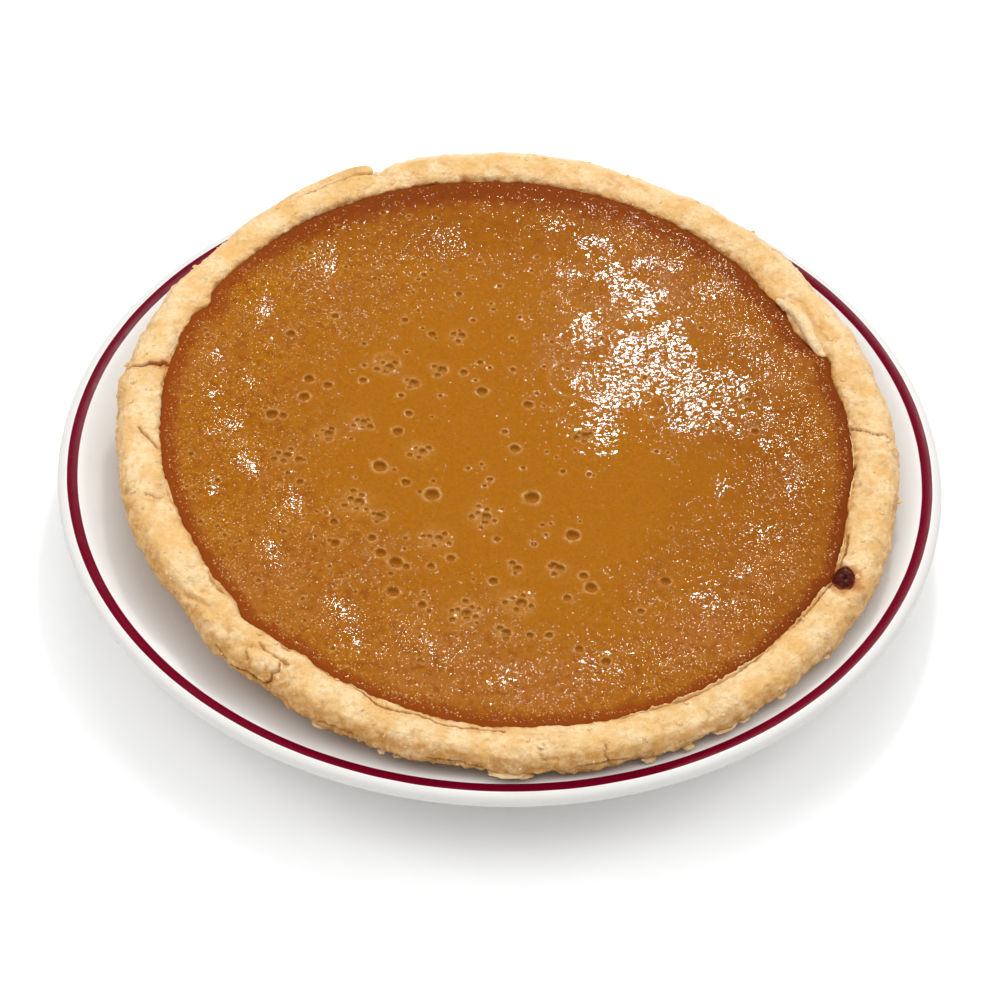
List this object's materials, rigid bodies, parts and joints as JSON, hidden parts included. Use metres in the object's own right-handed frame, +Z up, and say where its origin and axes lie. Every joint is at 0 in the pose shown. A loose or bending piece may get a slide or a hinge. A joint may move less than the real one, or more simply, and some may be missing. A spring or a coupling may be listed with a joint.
{
  "type": "pumpkin pie",
  "caption": "Whole baked pumpkin pie with a thick rolled pastry rim, glossy bubbled filling and a burnt drip, on a round white plate with a dark red line.",
  "frame": {"origin": "on the axis of the plate, level with the bottom of its foot ring", "axes": "+Z up; the side with the lowest part of the pie's rim faces -Y, and the burnt drip is towards +X and -Y"},
  "size_m": [0.267, 0.267, 0.0475],
  "materials": {
    "plate_glaze": "glossy white stoneware glaze with a dark red line",
    "baked_crust": "matte golden baked pastry",
    "baked_filling": "moist shiny baked pumpkin custard",
    "burnt_filling": "burnt, half shiny filling"
  },
  "bodies": {
    "root": {"plate": "plate_glaze", "crust": "baked_crust", "filling": "baked_filling", "filling_drip": "burnt_filling"}
  },
  "joints": []
}
